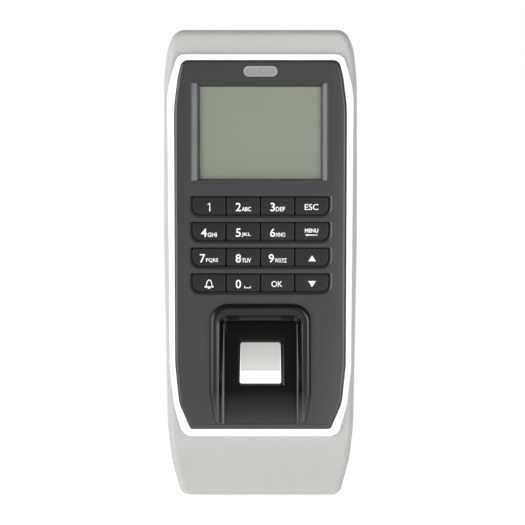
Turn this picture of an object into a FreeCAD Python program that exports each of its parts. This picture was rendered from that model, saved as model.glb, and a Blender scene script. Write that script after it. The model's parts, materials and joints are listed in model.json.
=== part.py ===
import FreeCAD, Part
import Sketcher
import math
import os

# Wall-mounted fingerprint terminal.
# Frame: X to the right seen from the front, Z up, the wall at Y = 0 and the front towards -Y.
# "out" is a distance from the wall, so a face at out = 36 lies at Y = -36. Millimetres.

DIMENSIONS = {
    # grey housing: corners of the right half of its outline (across, up, radius)
    "house_across_a": 34.3, "house_up_a": 93.4, "house_round_a": 6.0,
    "house_across_b": 37.5, "house_up_b": 86.2, "house_round_b": 20.0,
    "house_across_c": 38.9, "house_up_c": 74.0, "house_round_c": 90.0,
    "house_across_d": 38.9, "house_up_d": 10.0, "house_round_d": 200.0,
    "house_across_e": 37.4, "house_up_e": -66.0, "house_round_e": 60.0,
    "house_across_f": 35.9, "house_up_f": -79.0, "house_round_f": 30.0,
    "house_across_g": 32.0, "house_up_g": -93.4, "house_round_g": 4.0,
    # white trim ring: outer outline
    "trim_across_a": 33.2, "trim_up_a": 83.4, "trim_round_a": 4.0,
    "trim_across_b": 37.4, "trim_up_b": 69.0, "trim_round_b": 40.0,
    "trim_across_c": 36.3, "trim_up_c": -43.0, "trim_round_c": 40.0,
    "trim_across_d": 34.6, "trim_up_d": -57.5, "trim_round_d": 30.0,
    "trim_across_e": 31.0, "trim_up_e": -69.8, "trim_round_e": 5.0,
    # black fascia: outline
    "fascia_across_a": 31.4, "fascia_up_a": 80.7, "fascia_round_a": 3.0,
    "fascia_across_b": 33.0, "fascia_up_b": 74.0, "fascia_round_b": 20.0,
    "fascia_across_c": 34.5, "fascia_up_c": 62.0, "fascia_round_c": 60.0,
    "fascia_across_d": 34.0, "fascia_up_d": -41.0, "fascia_round_d": 40.0,
    "fascia_across_e": 32.4, "fascia_up_e": -56.5, "fascia_round_e": 15.0,
    "fascia_across_f": 27.9, "fascia_up_f": -66.7, "fascia_round_f": 1.2,
    # depths of the layers, measured out from the wall
    "plate_thick": 1.5,
    "cover_back": 0.4, "cover_floor_back": 2.0, "cover_floor_front": 4.2, "joint_out": 13.0,
    "gasket_thick": 0.8, "house_front": 36.0, "house_wall_back": 32.8, "rabbet_out": 34.4,
    "trim_front": 37.8, "fascia_front": 38.4, "fascia_back": 36.2, "skirt_back": 33.0,
    "collar_front": 41.2,
    # walls and clearances
    "cover_inset": 1.0, "wall": 2.4, "tongue_wall": 1.4, "tongue": 1.1, "gap": 0.1,
    "seam": 0.12, "opening_inset": 1.5, "skirt_wall": 1.8, "house_edge": 3.0,
    "trim_edge": 0.7, "fascia_edge": 1.1, "house_draft": 1.2,
    # display
    "cove_half": 28.4, "cove_foot": 25.0, "cove_deep": 1.3, "cove_round": 7.0,
    "bezel_half": 25.0, "bezel_top": 71.5, "bezel_low": 32.6,
    "view_half": 24.2, "view_top": 70.1, "view_low": 33.3,
    "screen_up": 51.7, "window_wide": 51.0, "window_tall": 39.6, "window_thick": 1.0,
    "panel_wide": 51.0, "panel_tall": 39.2, "panel_thick": 1.7, "light_thick": 1.1,
    "shield_wide": 52.6, "shield_tall": 40.8, "shield_thick": 2.9,
    # indicator pill
    "pill_up": 76.3, "pill_straight": 9.4, "pill_tall": 4.3, "pill_flange": 0.6,
    "pill_proud": 0.15, "led_apart": 6.0, "led_up": 75.4, "led_wide": 3.2, "led_tall": 1.6,
    "led_deep": 1.4,
    # keypad
    "key_pitch": 13.75, "row_pitch": 10.27, "row_up": 22.5, "row_half": 27.65,
    "row_above": 3.85, "row_below": 3.95, "row_round": 3.4, "row_top_round": 0.4,
    "row_bevel": 1.0, "row_bevel_deep": 0.8, "row_bevel_top": 6.0,
    "key_gap": 0.55, "key_tall": 6.9, "key_round": 3.0, "key_small_round": 0.7,
    "key_front": 38.2, "key_flange_back": 35.2, "key_flange_thick": 0.85,
    "key_flange_tall": 8.8, "key_edge": 0.25,
    "mat_half": 29.0, "mat_top": 26.8, "mat_low": -13.8, "mat_thick": 0.8,
    "dome_foot": 3.6, "dome_head": 2.3, "dome_top": 35.1,
    # front board and its bosses
    "front_board_back": 30.6, "board_thick": 1.6, "front_board_half": 30.0,
    "front_board_top": 76.9, "front_board_low": -18.6, "boss_round": 2.0,
    "boss_top_across": 20.0, "boss_top_up": 74.6, "boss_mid_across": 22.0,
    "boss_mid_up": 29.0, "boss_low_across": 24.0, "boss_low_up": -16.2,
    # finger bay
    "collar_across_a": 20.2, "collar_up_a": -16.8, "collar_round_a": 7.3,
    "collar_across_b": 20.2, "collar_up_b": -53.0, "collar_round_b": 20.0,
    "collar_across_c": 18.0, "collar_up_c": -64.8, "collar_round_c": 1.8,
    "collar_edge": 1.6, "collar_end": 40.2, "guide_flange": 1.0, "guide_flange_back": 35.1,
    "guide_room_back": 30.0, "foot_room_tall": 8.0, "foot_room_lift": 3.6,
    "bay_half": 17.2, "bay_low_half": 18.6, "bay_top": -20.5,
    "bay_round": 4.5, "bay_low": -76.0, "bay_bevel": 40.0, "bay_bevel_front": 41.8,
    "bay_bevel_back": 38.7, "lip_half": 17.09, "lip_low_half": 17.5, "lip_top": -3.83,
    "lip_low": -58.0, "lip_round": 4.3, "lip_deep": 0.25, "lip_slope": 70.0,
    "well_lip": 0.35, "well_lip_deep": 0.18, "well_half": 14.6, "well_top": -23.2, "well_round": 1.6,
    "well_low": -74.0, "well_taper": 1.5, "bay_wall": 1.8,
    "tilt": 13.0, "sensor_up": -40.4, "sensor_out": 32.4,
    "frame_wide": 19.6, "frame_high": 20.6, "frame_thick": 1.0, "frame_shift": 0.55,
    "frame_proud": 0.15, "frame_lip": 0.3, "funnel_deep": 0.75, "sleeve_wide": 18.0,
    "sleeve_high": 18.2, "sleeve_deep": 3.6, "glass_top_half": 7.95, "glass_low_half": 8.3,
    "glass_high": 16.6, "glass_round": 0.8, "glass_proud": 0.2, "glass_thick": 3.6,
    "lamp_wide": 18.0, "lamp_high": 18.2, "lamp_deep": 8.6, "lamp_wall": 1.2,
    "ear_wide": 30.0, "ear_high": 7.0, "ear_thick": 1.8, "ear_screw": 13.2,
    "ear_wall": 3.4, "ear_root": 1.4, "ear_shift": 0.9,
    "imager_round": 3.4, "imager_deep": 5.0, "optic_round": 2.0, "optic_deep": 1.6,
    "sensor_board_wide": 20.0, "sensor_board_high": 22.0, "sensor_board_thick": 1.2,
    "lamp_led": 1.6, "lamp_led_apart": 6.0, "sensor_screw_shank": 0.8,
    "sensor_screw_head": 1.5, "sensor_screw_head_tall": 0.9, "sensor_screw_length": 3.0,
    "cable_wide": 8.0, "cable_thick": 0.3, "cable_out": 22.0, "cable_top": -18.0,
    "cable_low": -32.3, "cable_end": 17.2, "ribbon_wide": 10.0, "ribbon_up": 58.0,
    "ribbon_across": 7.0,
    "hook_snap_across": 31.3, "snap_stem": 1.1, "snap_reach": 1.0, "snap_tall": 8.0,
    "snap_out": 31.0, "snap_front": 32.7, "snap_top": 55.0, "snap_mid": 5.0,
    "snap_low": -35.0,
    # rear cover, wall plate and fixings
    "plate_half": 29.0, "plate_top": 76.0, "plate_low": -83.0, "plate_round": 4.0,
    "recess_gap": 0.6, "wall_hole_across": 20.0, "wall_hole_up": 60.0,
    "wall_hole_low": -60.0, "wall_hole_round": 2.25,
    "port_half": 20.0, "port_top": 10.0, "port_low": -42.0, "port_round": 3.0,
    "hook_across": 18.0, "hook_up": 70.0, "hook_wide": 6.0, "hook_rise": 4.0,
    "slot_wide": 7.0, "slot_tall": 5.4, "tab_wide": 18.0, "tab_deep": 8.0,
    "lock_out": 6.6, "lock_round": 1.5, "lock_head_round": 2.9, "lock_head_tall": 1.7,
    "case_across": 27.0, "case_up": 86.6, "case_low_across": 25.5, "case_low_up": -87.4,
    "case_boss": 3.3, "case_shank": 1.25, "case_head": 2.5, "case_head_tall": 1.6,
    "case_seat": 5.0, "case_end": 26.0,
    # main board
    "main_board_back": 18.0, "main_board_half": 29.0, "main_board_top": 72.0,
    "main_board_low": -24.0, "post_round": 2.7, "post_across": 25.4, "post_up": 67.0,
    "post_low": -19.0, "board_screw_shank": 1.0, "board_screw_head": 1.9,
    "board_screw_head_tall": 1.2, "board_screw_length": 5.0,
    # tamper switch
    "tamper_across": 14.0, "tamper_up": 48.0, "tamper_wide": 6.4, "tamper_deep": 7.0,
    "tamper_pin": 1.2, "tamper_pin_end": 15.4, "tamper_hole": 1.7,
    # round parts on the main board
    "cell_across": -14.0, "cell_up": 54.0, "cell_round": 10.0, "cell_thick": 3.2,
    "cell_wall": 1.2, "buzzer_across": 17.0, "buzzer_up": 22.0, "buzzer_round": 6.0,
    "buzzer_deep": 5.5, "can_round": 3.2, "can_deep": 7.5, "can_up": -12.0,
    "can_across": 8.0, "can_pitch": 8.0,
}

# boxes soldered to a board: width, height, depth, centre across, centre up, back face
PROCESSOR = (14.0, 14.0, 1.3, 2.0, 36.0, 19.6)
POWER_RELAY = (10.2, 19.0, 8.6, -19.0, -6.0, 19.6)
NETWORK_JACK = (15.8, 17.0, 12.8, -9.5, 4.0, 5.2)
JACK_MOUTH = (11.8, 14.0, 8.2, -9.5, 1.5, 7.6)
MEMORY_CHIPS = [(8.0, 12.0, 1.1, -14.0, 33.0, 19.6), (8.0, 12.0, 1.1, -14.0, 18.0, 19.6)]
TERMINAL_BLOCKS = [(15.6, 7.6, 9.4, 9.5, 5.0, 8.6), (15.6, 7.6, 9.4, 9.5, -6.0, 8.6)]
RIBBON_SOCKETS = [(12.0, 4.2, 2.4, 7.0, 58.0, 19.6), (12.0, 4.2, 2.0, 7.0, 58.0, 28.6),
                  (9.0, 4.2, 2.4, 0.0, -20.0, 19.6)]

KEYS = [["key_1", "key_2", "key_3", "key_esc"],
        ["key_4", "key_5", "key_6", "key_menu"],
        ["key_7", "key_8", "key_9", "key_up"],
        ["key_bell", "key_0", "key_ok", "key_down"]]

FACING_FRONT = FreeCAD.Rotation(FreeCAD.Vector(1, 0, 0), 90)   # local +Z points out, to -Y
UPRIGHT = FreeCAD.Rotation()                                  # local +Z stays up

doc = FreeCAD.newDocument("fingerprint_terminal")
dims = doc.addObject("Spreadsheet::Sheet", "dims")
subparts = []


def fill_sheet():
    for row, (alias, value) in enumerate(DIMENSIONS.items(), start=1):
        dims.set("A%d" % row, alias)
        dims.set("B%d" % row, str(value))
        dims.setAlias("B%d" % row, alias)
    doc.recompute()


def number(alias):
    return float(dims.get(alias))


def bind(thing, **formulas):
    for name, formula in formulas.items():
        thing.setExpression(name, str(formula))
    return thing


def place(thing, across="0", out="0", up="0", rotation=FACING_FRONT):
    thing.Placement = FreeCAD.Placement(FreeCAD.Vector(0, 0, 0), rotation)
    thing.setExpression(".Placement.Base.x", str(across))
    thing.setExpression(".Placement.Base.y", "-(%s)" % out)
    thing.setExpression(".Placement.Base.z", str(up))
    return thing


def box(name, wide, tall, deep, across="0", up="0", out="0"):
    """A box centred at across and up, from out to out + deep."""
    solid = doc.addObject("Part::Box", name)
    bind(solid, Length=wide, Width=tall, Height=deep)
    return place(solid, "%s - (%s) / 2" % (across, wide), out, "%s - (%s) / 2" % (up, tall))


def post(name, radius, deep, across="0", up="0", out="0"):
    """A round post that points out from the wall."""
    solid = doc.addObject("Part::Cylinder", name)
    bind(solid, Radius=radius, Height=deep)
    return place(solid, across, out, up)


def cut(name, base, tool):
    result = doc.addObject("Part::Cut", name)
    result.Base = base
    result.Tool = tool
    return result


def fuse(name, *pieces):
    result = doc.addObject("Part::MultiFuse", name)
    result.Shapes = list(pieces)
    result.Refine = True
    return result


def common(name, *pieces):
    result = doc.addObject("Part::MultiCommon", name)
    result.Shapes = list(pieces)
    return result


def group(name, pieces):
    result = doc.addObject("Part::Compound", name)
    result.Links = list(pieces)
    return result


def cut_all(name, base, tools):
    return cut(name, base, fuse(name + "_cutters", *tools))


def keep(name, thing):
    """Make a finished object a sub-part: its label is the name of its file."""
    thing.Label = name
    subparts.append(thing)
    return thing


def rounded_corner(before, corner, after, radius):
    """Start, middle and end of the arc that rounds a corner."""
    back = (before - corner).normalize()
    ahead = (after - corner).normalize()
    half = back.getAngle(ahead) / 2
    bisector = (back + ahead).normalize()
    centre = corner + bisector * (radius / math.sin(half))
    run = radius / math.tan(half)
    return corner + back * run, centre - bisector * radius, corner + ahead * run


def turns_left(points):
    """True where a closed run of points goes anticlockwise."""
    doubled = sum(points[i - 1].x * points[i].y - points[i].x * points[i - 1].y
                  for i in range(len(points)))
    return doubled > 0


def outline(name, corners):
    """A closed outline of straight sides and rounded corners, standing in the XZ plane.

    Each corner is a formula across, a formula up, their two values and a radius formula
    with its value. The sketch is fully constrained, and its constraints are the formulas.
    """
    if not turns_left([FreeCAD.Vector(corner[2], corner[3], 0) for corner in corners]):
        corners = list(reversed(corners))
    sketch = doc.addObject("Sketcher::SketchObject", name)
    count = len(corners)
    points = [FreeCAD.Vector(corner[2], corner[3], 0) for corner in corners]
    arcs = [rounded_corner(points[i - 1], points[i], points[(i + 1) % count], corners[i][5])
            for i in range(count)]
    lines = [Part.LineSegment(arcs[i][2], arcs[(i + 1) % count][0]) for i in range(count)]
    sketch.addGeometry(lines + [Part.Arc(*arc) for arc in arcs])
    sketch.addGeometry([Part.Point(point) for point in points], True)
    rules = []
    for i, (across, up, x, z, radius, bend) in enumerate(corners):
        before, after, arc, mark = (i - 1) % count, i, count + i, 2 * count + i
        rules += [Sketcher.Constraint("Tangent", before, 2, arc, 1),
                  Sketcher.Constraint("Tangent", after, 1, arc, 2),
                  Sketcher.Constraint("PointOnObject", mark, 1, before),
                  Sketcher.Constraint("PointOnObject", mark, 1, after),
                  Sketcher.Constraint("DistanceX", -1, 1, mark, 1, x),
                  Sketcher.Constraint("DistanceY", -1, 1, mark, 1, z),
                  Sketcher.Constraint("Radius", arc, bend)]
    sketch.addConstraint(rules)
    for i, (across, up, x, z, radius, bend) in enumerate(corners):
        for step, formula in ((4, across), (5, up), (6, radius)):
            sketch.setExpression("Constraints[%d]" % (7 * i + step), formula)
    sketch.Placement = FreeCAD.Placement(FreeCAD.Vector(0, 0, 0), FACING_FRONT)
    return sketch


def mirrored_outline(name, prefix, letters):
    """The outline of a symmetrical shell, from the corners of its right half, top first."""
    right = []
    for letter in letters:
        cells = ["%s_%s_%s" % (prefix, word, letter) for word in ("across", "up", "round")]
        formulas = ["dims." + cell for cell in cells]
        x, z, bend = [number(cell) for cell in cells]
        right.append((formulas[0], formulas[1], x, z, formulas[2], bend))
    left = [("-" + c[0], c[1], -c[2], c[3], c[4], c[5]) for c in reversed(right)]
    return outline(name, right + left)


def term(sign, alias):
    """A formula and its value for one cell, with a sign."""
    return ("-dims." if sign < 0 else "dims.") + alias, sign * number(alias)


def box_outline(name, half, top, low, top_round, low_round, low_half=None):
    """A rounded rectangle or trapezium, symmetrical about X = 0, from its cells."""
    corners = []
    foot = low_half or half
    for side, wide, up, bend in ((1, half, top, top_round), (1, foot, low, low_round),
                                 (-1, foot, low, low_round), (-1, half, top, top_round)):
        across, x = term(side, wide)
        height, z = term(1, up)
        radius, r = term(1, bend)
        corners.append((across, height, x, z, radius, r))
    return outline(name, corners)


def offset(name, base, amount):
    """The same outline, moved out (or in, where the amount is negative) all round."""
    ring = doc.addObject("Part::Offset2D", name)
    ring.Source = base
    ring.Mode = "Pipe"
    ring.Join = "Arc"
    ring.Fill = False
    return bind(ring, Value=amount)


def layer(name, base, out, deep, taper=None, inward=False):
    """The solid that an outline makes from out to out + deep, or back towards the wall."""
    solid = doc.addObject("Part::Extrusion", name)
    solid.Base = base
    solid.DirMode = "Custom"
    solid.Dir = FreeCAD.Vector(0, 1 if inward else -1, 0)
    solid.Solid = True
    bind(solid, LengthFwd=deep)
    if taper:
        bind(solid, TaperAngle=taper)
    return place(solid, "0", out, "0", UPRIGHT)


def edges_at(thing, out):
    """Numbers of the edges that lie wholly at one distance from the wall."""
    doc.recompute()
    return [n for n, edge in enumerate(thing.Shape.Edges, start=1)
            if all(abs(vertex.Y + out) < 1e-4 for vertex in edge.Vertexes)]


def soften(name, thing, out, cell):
    """Round every edge of a solid at one distance from the wall."""
    size = number(cell)
    eased = doc.addObject("Part::Fillet", name)
    eased.Base = thing
    eased.Edges = [(n, size, size) for n in edges_at(thing, out)]
    return eased


def screws(name, places, shank, head, head_tall, length, seat):
    """Identical screws that point out from the wall, heads towards it."""
    pieces = []
    for i, (across, up) in enumerate(places):
        top = post("%s_head_%d" % (name, i), head, head_tall, across, up,
                   "%s - %s" % (seat, head_tall))
        stem = post("%s_shank_%d" % (name, i), shank, length, across, up, seat)
        slot = box("%s_slot_%d" % (name, i), "%s * 1.3" % head, "%s * 0.28" % head,
                   "%s * 0.5" % head_tall, across, up, "%s - %s" % (seat, head_tall))
        pieces.append(cut("%s_%d" % (name, i), fuse("%s_blank_%d" % (name, i), top, stem),
                          slot))
    return keep(name, group(name, pieces))


def four(across, up, low_across, low):
    return [(across, up), ("-(%s)" % across, up),
            (low_across, low), ("-(%s)" % low_across, low)]


def make_outlines():
    """The outlines that several shells share."""
    return {"house": mirrored_outline("house_outline", "house", "abcdefg"),
            "trim": mirrored_outline("trim_outline", "trim", "abcde"),
            "fascia": mirrored_outline("fascia_outline", "fascia", "abcdef"),
            "collar": mirrored_outline("collar_outline", "collar", "abc")}


CASE_SCREW_PLACES = four("dims.case_across", "dims.case_up",
                         "dims.case_low_across", "dims.case_low_up")
POST_PLACES = four("dims.post_across", "dims.post_up", "dims.post_across", "dims.post_low")
BOSS_PLACES = (four("dims.boss_top_across", "dims.boss_top_up",
                    "dims.boss_mid_across", "dims.boss_mid_up")
               + [("dims.boss_low_across", "dims.boss_low_up"),
                  ("-dims.boss_low_across", "dims.boss_low_up")])


def make_wall_plate():
    """Bent steel plate that is screwed to the wall; the terminal hangs on its two hooks."""
    flat = layer("plate_flat", box_outline("plate_outline", "plate_half", "plate_top",
                 "plate_low", "plate_round", "plate_round"), "0", "dims.plate_thick")
    tab = box("plate_tab", "dims.tab_wide", "dims.plate_thick", "dims.tab_deep", "0",
              "dims.plate_low + dims.plate_thick / 2")
    parts = [flat, tab]
    for side in ("", "-"):
        arm = box("hook_arm" + ("_left" if side else ""), "dims.hook_wide",
                  "dims.plate_thick", "dims.cover_floor_front + dims.plate_thick + 0.3",
                  side + "dims.hook_across", "dims.hook_up")
        lip = box("hook_lip" + ("_left" if side else ""), "dims.hook_wide",
                  "dims.hook_rise", "dims.plate_thick", side + "dims.hook_across",
                  "dims.hook_up + dims.hook_rise / 2 - dims.plate_thick / 2",
                  "dims.cover_floor_front + 0.3")
        parts += [arm, lip]
    holes = [post("wall_hole_%d" % i, "dims.wall_hole_round", "dims.plate_thick * 3",
                  across, up, "-dims.plate_thick")
             for i, (across, up) in enumerate(
                 four("dims.wall_hole_across", "dims.wall_hole_up",
                      "dims.wall_hole_across", "dims.wall_hole_low"))]
    port = layer("plate_port", offset("plate_port_outline", port_outline(), -1),
                 "-dims.plate_thick", "dims.plate_thick * 3")
    lock = place(bind(doc.addObject("Part::Cylinder", "plate_lock_hole"),
                      Radius="dims.lock_round", Height="dims.plate_thick * 4"),
                 "0", "dims.lock_out", "dims.plate_low - dims.plate_thick", UPRIGHT)
    keep("wall_plate", cut_all("wall_plate_cut", fuse("plate_bent", *parts),
                               holes + [port, lock]))


def port_outline():
    """The opening that the wires from the wall come through."""
    return box_outline("port_outline", "port_half", "port_top", "port_low",
                       "port_round", "port_round")


def make_rear_cover(outlines):
    """Dark tray: pocket for the wall plate behind, posts for the main board in front."""
    floor_thick = "(dims.cover_floor_front - dims.cover_floor_back)"
    skin = layer("cover_skin", offset("cover_outline", outlines["house"],
                 "-dims.cover_inset"), "dims.cover_back", "dims.joint_out - dims.cover_back")
    rim = layer("cover_tongue", offset("cover_tongue_outline", outlines["house"],
                "-dims.wall - dims.gap"), "dims.joint_out - 1", "1 + dims.tongue")
    hollow = layer("cover_hollow", offset("cover_hollow_outline", outlines["house"],
                   "-dims.wall - dims.gap - dims.tongue_wall"),
                   "dims.cover_floor_front", "dims.joint_out")
    pocket = layer("cover_pocket", offset("cover_pocket_outline",
                   doc.getObject("plate_outline"), "dims.recess_gap"), "-1",
                   "dims.cover_floor_back + 1")
    port = layer("cover_port", doc.getObject("port_outline"), "-1",
                 "dims.cover_floor_front + 2")
    shell = cut_all("cover_shell", fuse("cover_blank", skin, rim), [hollow, pocket, port])
    inner = [post("board_post_%d" % i, "dims.post_round",
                  "dims.main_board_back - dims.cover_floor_front + 0.5", across, up,
                  "dims.cover_floor_front - 0.5")
             for i, (across, up) in enumerate(POST_PLACES)]
    inner += [post("case_post_%d" % i, "dims.case_boss",
                   "dims.joint_out - dims.cover_back - 0.3", across, up,
                   "dims.cover_back + 0.3")
              for i, (across, up) in enumerate(CASE_SCREW_PLACES)]
    holes = [post("post_hole_%d" % i, "dims.board_screw_shank",
                  "dims.board_screw_length + 1", across, up,
                  "dims.main_board_back + dims.board_thick - dims.board_screw_length - 0.5")
             for i, (across, up) in enumerate(POST_PLACES)]
    for i, (across, up) in enumerate(CASE_SCREW_PLACES):
        holes.append(post("boss_room_%d" % i, "dims.case_boss + dims.gap", "5", across, up,
                          "dims.joint_out"))
        holes.append(post("case_hole_%d" % i, "dims.case_shank + dims.gap", "dims.joint_out",
                          across, up, "dims.cover_back"))
        holes.append(post("case_bore_%d" % i, "dims.case_head + dims.gap",
                          "dims.case_seat + 1", across, up, "-1"))
    for side in ("", "-"):
        holes.append(box("hook_slot" + ("_left" if side else ""), "dims.slot_wide",
                         "dims.slot_tall", "dims.cover_floor_front + 2",
                         side + "dims.hook_across",
                         "dims.hook_up + (dims.plate_thick - dims.slot_tall) / 2 + 0.05",
                         "-1"))
    holes.append(post("tamper_hole", "dims.tamper_hole", "dims.cover_floor_front + 2",
                      "dims.tamper_across", "dims.tamper_up", "-1"))
    holes.append(box("tab_slot", "dims.tab_wide + 1", "dims.plate_thick * 3",
                     "dims.tab_deep + 1.5", "0", "dims.plate_low + dims.plate_thick / 2",
                     "0"))
    holes.append(place(bind(doc.addObject("Part::Cylinder", "lock_bore"),
                            Radius="dims.lock_round + dims.gap", Height="12"),
                       "0", "dims.lock_out", "dims.house_up_g", UPRIGHT))
    holes.append(place(bind(doc.addObject("Part::Cylinder", "lock_head_bore"),
                            Radius="dims.lock_head_round + dims.gap",
                            Height="dims.cover_inset + dims.lock_head_tall + 0.4"),
                       "0", "dims.lock_out", "dims.house_up_g", UPRIGHT))
    keep("rear_cover", cut_all("rear_cover_cut", fuse("cover_posted", shell, *inner), holes))


def make_main_housing(outlines):
    """Grey shell with a ledge round its front opening for the trim ring and the fascia."""
    skin = layer("house_skin", outlines["house"], "dims.joint_out + dims.gasket_thick",
                 "dims.house_front - dims.joint_out - dims.gasket_thick",
                 "-dims.house_draft")
    skin = soften("house_rounded", skin, number("house_front"), "house_edge")
    hollow = layer("house_hollow", offset("house_hollow_outline", outlines["house"],
                   "-dims.wall"), "0", "dims.house_wall_back")
    ledge = layer("house_ledge", offset("house_ledge_outline", outlines["trim"],
                  "dims.gap / 2"), "dims.rabbet_out", "dims.house_front")
    window = layer("house_window", offset("house_window_outline", outlines["fascia"],
                   "-dims.opening_inset"), "0", "dims.house_front + 2")
    shell = cut_all("house_shell", skin, [hollow, ledge, window])
    bosses = [post("house_boss_%d" % i, "dims.case_boss",
                   "dims.house_wall_back + 0.5 - dims.joint_out - dims.gasket_thick",
                   across, up, "dims.joint_out + dims.gasket_thick")
              for i, (across, up) in enumerate(CASE_SCREW_PLACES)]
    holes = [post("house_hole_%d" % i, "dims.case_shank", "dims.case_end", across, up, "0")
             for i, (across, up) in enumerate(CASE_SCREW_PLACES)]
    keep("main_housing", cut_all("main_housing_cut", fuse("house_posted", shell, *bosses),
                                 holes))


def make_gasket(outlines):
    """Foam rubber seal squeezed between the two shells."""
    outer = layer("gasket_outer", offset("gasket_outline", outlines["house"],
                  "-dims.cover_inset - 0.3"), "dims.joint_out", "dims.gasket_thick")
    inner = layer("gasket_inner", offset("gasket_inner_outline", outlines["house"],
                  "-dims.wall"), "dims.joint_out - 1", "dims.gasket_thick + 2")
    keep("housing_gasket", cut("housing_gasket_cut", outer, inner))


def make_trim_ring(outlines):
    """Gloss white ring in the housing's ledge, round the fascia."""
    outer = layer("trim_outer", outlines["trim"], "dims.rabbet_out",
                  "dims.trim_front - dims.rabbet_out")
    outer = soften("trim_rounded", outer, number("trim_front"), "trim_edge")
    inner = layer("trim_inner", offset("trim_inner_outline", outlines["fascia"], "dims.seam"),
                  "0", "dims.collar_front")
    keep("trim_ring", cut("trim_ring_cut", outer, inner))


def row_centre(row):
    """The height of the centres of a row of keys, as a formula and as a value."""
    value = number("row_up") - row * number("row_pitch")
    return "(dims.row_up - %d * dims.row_pitch)" % row, value


def row_outline(name, row, above, grow=None):
    """The opening round a row of keys, rounded below, let out at its sides and foot."""
    formula, centre = row_centre(row)
    more = " + dims." + grow if grow else ""
    extra = number(grow) if grow else 0.0
    half = number("row_half") + extra
    top = ("%s + dims.%s" % (formula, above), centre + number(above),
           "dims.row_top_round", number("row_top_round"))
    foot = ("%s - (dims.row_below%s)" % (formula, more), centre - number("row_below") - extra,
            "dims.row_round" + more, number("row_round") + extra)
    corners = []
    for sign, side, (up, z, radius, bend) in (("", 1, top), ("", 1, foot),
                                              ("-", -1, foot), ("-", -1, top)):
        corners.append(("%s(dims.row_half%s)" % (sign, more), up, side * half, z, radius, bend))
    return outline(name, corners)


def row_bevel(row):
    """The sloping band at the sides and foot of a row's opening; its top edge stays square."""
    slope = layer("row_slope_%d" % row,
                  row_outline("row_slope_outline_%d" % row, row, "row_bevel_top", "row_bevel"),
                  "dims.fascia_front", "dims.row_bevel_deep",
                  "-atan(dims.row_bevel / dims.row_bevel_deep)", inward=True)
    limit = box("row_limit_%d" % row, "80", "dims.row_pitch", "4", "0",
                row_centre(row)[0] + " + dims.row_above - dims.row_pitch / 2",
                "dims.fascia_back")
    return common("row_bevel_%d" % row, slope, limit)


def rect_frustum(name, front, back, out, deep):
    """A four-sided hole that narrows inwards; front and back are half width, top and foot."""
    solid = doc.addObject("Part::Wedge", name)
    f_half, f_top, f_low = front
    b_half, b_top, b_low = back
    bind(solid, Xmin="-(%s)" % b_half, Xmax=b_half, X2min="-(%s)" % f_half, X2max=f_half,
         Zmin="-(%s)" % b_top, Zmax="-(%s)" % b_low, Z2min="-(%s)" % f_top,
         Z2max="-(%s)" % f_low, Ymin="0", Ymax=deep)
    return place(solid, "0", out, "0", FreeCAD.Rotation(FreeCAD.Vector(1, 0, 0), 180))


def cove(name, side):
    """The rolled-in side of the display recess: the edge bends away on a large radius."""
    run = "(dims.cove_half - dims.cove_foot)"
    block = box(name + "_block", run + " + 0.5", "dims.bezel_top - dims.bezel_low",
                "dims.cove_deep + 1", side + "(dims.cove_foot + %s / 2 - 0.25)" % run,
                "(dims.bezel_top + dims.bezel_low) / 2", "dims.fascia_front - dims.cove_deep")
    roll = doc.addObject("Part::Cylinder", name + "_roll")
    bind(roll, Radius="dims.cove_round", Height="dims.bezel_top - dims.bezel_low + 2")
    place(roll, side + "dims.cove_half", "dims.fascia_front - dims.cove_round",
          "dims.bezel_low - 1", UPRIGHT)
    return cut(name, block, roll)


def pill(name, grow, out, deep):
    """A bar with round ends, on the indicator's centre line."""
    radius = "(dims.pill_tall / 2 + %s)" % grow
    middle = box(name + "_bar", "dims.pill_straight", "2 * " + radius, deep, "0",
                 "dims.pill_up", out)
    ends = [post(name + "_end_%d" % i, radius, deep, sign + "dims.pill_straight / 2",
                 "dims.pill_up", out) for i, sign in enumerate(("", "-"))]
    return fuse(name, middle, *ends)


def tilted(thing, out="dims.sensor_out", up="dims.sensor_up", angle="-dims.tilt"):
    """Lean a piece built round the origin: by itself, onto the finger bay's sloping floor."""
    thing.setExpression(".Placement.Base.y", "-(%s)" % out)
    thing.setExpression(".Placement.Base.z", up)
    thing.setExpression(".Placement.Rotation.Axis.x", "1")
    thing.setExpression(".Placement.Rotation.Axis.z", "0")
    thing.setExpression(".Placement.Rotation.Angle", angle)
    return thing


def above_floor(name, floor):
    """Everything in front of a plane parallel to the finger bay's sloping floor."""
    return tilted(group(name + "_lean", [box(name + "_block", "90", "140", "60", "0", "0",
                                             floor)]))


COLLAR_DROP = ("atan((dims.collar_front - dims.collar_end)"
               " / (dims.collar_up_a - dims.collar_up_c))")


def make_bay():
    """The finger bay: a bevelled mouth in the collar, then a steep-walled well.

    Both edges are eased by a narrow, nearly flat band.
    """
    mouth = layer("bay_mouth", box_outline("bay_outline", "bay_half", "bay_top", "bay_low",
                  "bay_round", "bay_round", "bay_low_half"), "dims.bay_bevel_front",
                  "dims.bay_bevel_front - dims.bay_bevel_back", "-dims.bay_bevel",
                  inward=True)
    well = layer("bay_well", box_outline("well_outline", "well_half", "well_top", "well_low",
                 "well_round", "well_round"), "dims.bay_bevel_front", "dims.collar_front",
                 "-dims.well_taper", inward=True)
    eased_well = layer("well_lip", offset("well_lip_outline", doc.getObject("well_outline"),
                       "dims.well_lip"), "dims.bay_bevel_back", "dims.well_lip_deep",
                       "-dims.lip_slope", inward=True)
    eased_mouth = layer("mouth_lip", box_outline("lip_outline", "lip_half", "lip_top", "lip_low",
                        "lip_round", "lip_round", "lip_low_half"), "0", "dims.lip_deep",
                        "-dims.lip_slope", inward=True)
    leaned = tilted(group("mouth_lip_lean", [eased_mouth]), "dims.collar_front",
                    "dims.collar_up_a", COLLAR_DROP)
    room = fuse("bay_room", mouth, well, eased_well)
    return [common("bay_void", room, above_floor("bay_floor", "0")), leaned]


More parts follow.
